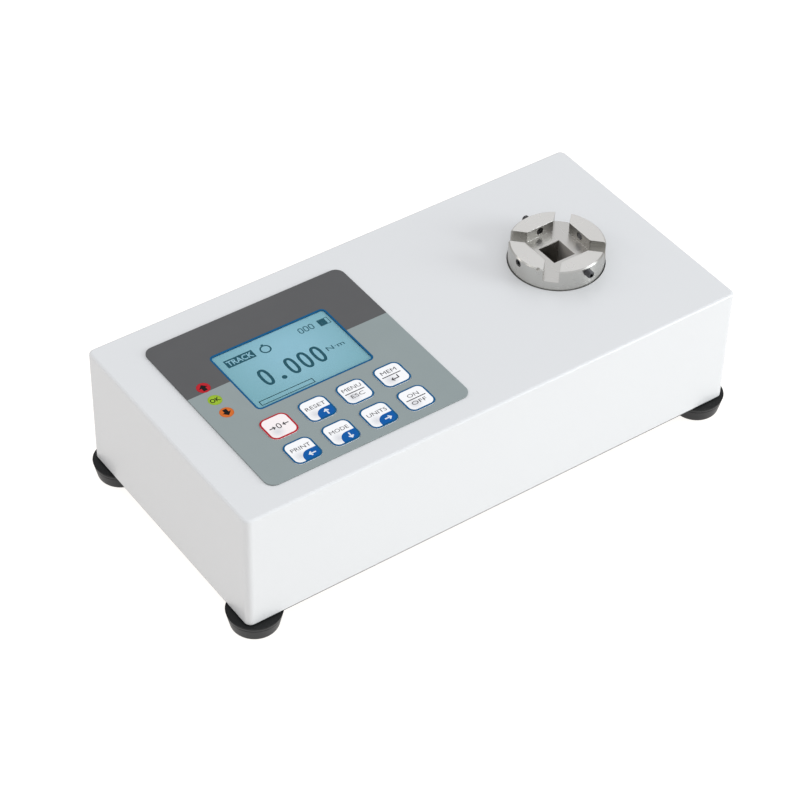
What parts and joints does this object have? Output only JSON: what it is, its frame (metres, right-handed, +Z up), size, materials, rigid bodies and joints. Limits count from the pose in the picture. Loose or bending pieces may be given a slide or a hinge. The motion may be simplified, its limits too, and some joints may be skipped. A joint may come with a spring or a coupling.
{
  "type": "digital torque tester",
  "caption": "Bench torque tester: a low painted housing on rubber feet, with a display and keypad panel and a slotted jaw head with a square drive for checking torque tools.",
  "frame": {"origin": "on the floor under the centre of the housing, at the centre of the feet's footprint", "axes": "+X to the user's right along the housing's length, +Y away from the user, +Z up"},
  "size_m": [0.299, 0.151, 0.0906],
  "materials": {
    "cover_paint": "satin",
    "base_paint": "matt",
    "foot_rubber": "satin",
    "zinc_steel": "bright",
    "black_steel": "black oxide",
    "overlay_film": "matt",
    "layer_film": "matt",
    "key_film": "gloss",
    "window_film": "clear gloss",
    "lens_red": "gloss",
    "lens_green": "gloss",
    "lens_orange": "gloss",
    "led_body": "clear gloss",
    "lcd_glass": "gloss",
    "backlight": "gloss",
    "lcd_steel": "satin",
    "board_green": "satin",
    "chip_black": "matt",
    "head_steel": "ground",
    "cell_metal": "satin",
    "gauge_foil": "matt",
    "plate_steel": "satin",
    "lead_jacket": "satin",
    "battery_wrap": "gloss",
    "brass_spacer": "bright",
    "ribbon_film": "matt"
  },
  "bodies": {
    "housing": {"cover": "cover_paint", "base_plate": "base_paint", "foot_front_left": "foot_rubber", "foot_front_right": "foot_rubber", "foot_rear_left": "foot_rubber", "foot_rear_right": "foot_rubber", "foot_washers": "zinc_steel", "foot_screws": "zinc_steel", "weld_nuts": "zinc_steel", "cover_screws": "zinc_steel", "overlay": "overlay_film", "switch_layer": "layer_film", "key_contacts": "zinc_steel", "display_window": "window_film", "light_red": "lens_red", "light_green": "lens_green", "light_orange": "lens_orange", "status_leds": "led_body", "lcd_glass": "lcd_glass", "lcd_backlight": "backlight", "lcd_frame": "lcd_steel", "lcd_board": "board_green", "lcd_spacers": "brass_spacer", "main_board": "board_green", "main_board_parts": "chip_black", "board_spacers": "brass_spacer", "board_screws": "zinc_steel", "torque_head": "head_steel", "torque_cell": "cell_metal", "strain_gauges": "gauge_foil", "head_screws": "black_steel", "cell_screws": "black_steel", "cell_plate": "plate_steel", "cell_plate_screws": "zinc_steel", "sensor_lead": "lead_jacket", "battery_pack": "battery_wrap", "battery_clamp": "zinc_steel", "battery_clamp_screws": "zinc_steel", "port_board": "board_green", "port_board_parts": "chip_black", "port_spacers": "brass_spacer", "port_screws": "zinc_steel", "data_port": "zinc_steel", "dc_inlet": "chip_black", "ribbon_cable": "ribbon_film"},
    "key_zero": {"key_zero": "key_film"},
    "key_reset": {"key_reset": "key_film"},
    "key_menu": {"key_menu": "key_film"},
    "key_memory": {"key_memory": "key_film"},
    "key_print": {"key_print": "key_film"},
    "key_mode": {"key_mode": "key_film"},
    "key_units": {"key_units": "key_film"},
    "key_power": {"key_power": "key_film"},
    "clamp_screw_front": {"clamp_screw_front": "black_steel"},
    "clamp_screw_rear": {"clamp_screw_rear": "black_steel"},
    "clamp_screw_left": {"clamp_screw_left": "black_steel"},
    "clamp_screw_right": {"clamp_screw_right": "black_steel"}
  },
  "joints": [
    {"name": "key_zero_press", "type": "slide", "parent": "housing", "child": "key_zero", "axis": [0, 0, -1], "range_m": [0, 0.0003], "stiffness_N_per_m": 1500, "springref_m": -0.001},
    {"name": "key_reset_press", "type": "slide", "parent": "housing", "child": "key_reset", "axis": [0, 0, -1], "range_m": [0, 0.0003], "stiffness_N_per_m": 1500, "springref_m": -0.001},
    {"name": "key_menu_press", "type": "slide", "parent": "housing", "child": "key_menu", "axis": [0, 0, -1], "range_m": [0, 0.0003], "stiffness_N_per_m": 1500, "springref_m": -0.001},
    {"name": "key_memory_press", "type": "slide", "parent": "housing", "child": "key_memory", "axis": [0, 0, -1], "range_m": [0, 0.0003], "stiffness_N_per_m": 1500, "springref_m": -0.001},
    {"name": "key_print_press", "type": "slide", "parent": "housing", "child": "key_print", "axis": [0, 0, -1], "range_m": [0, 0.0003], "stiffness_N_per_m": 1500, "springref_m": -0.001},
    {"name": "key_mode_press", "type": "slide", "parent": "housing", "child": "key_mode", "axis": [0, 0, -1], "range_m": [0, 0.0003], "stiffness_N_per_m": 1500, "springref_m": -0.001},
    {"name": "key_units_press", "type": "slide", "parent": "housing", "child": "key_units", "axis": [0, 0, -1], "range_m": [0, 0.0003], "stiffness_N_per_m": 1500, "springref_m": -0.001},
    {"name": "key_power_press", "type": "slide", "parent": "housing", "child": "key_power", "axis": [0, 0, -1], "range_m": [0, 0.0003], "stiffness_N_per_m": 1500, "springref_m": -0.001},
    {"name": "clamp_front_travel", "type": "slide", "parent": "housing", "child": "clamp_screw_front", "axis": [0, 1, 0], "range_m": [-0.004, 0.0085]},
    {"name": "clamp_rear_travel", "type": "slide", "parent": "housing", "child": "clamp_screw_rear", "axis": [0, -1, 0], "range_m": [-0.005, 0.0075]},
    {"name": "clamp_left_travel", "type": "slide", "parent": "housing", "child": "clamp_screw_left", "axis": [1, 0, 0], "range_m": [-0.008, 0.0045]},
    {"name": "clamp_right_travel", "type": "slide", "parent": "housing", "child": "clamp_screw_right", "axis": [-1, 0, 0], "range_m": [-0.008, 0.0045]}
  ]
}
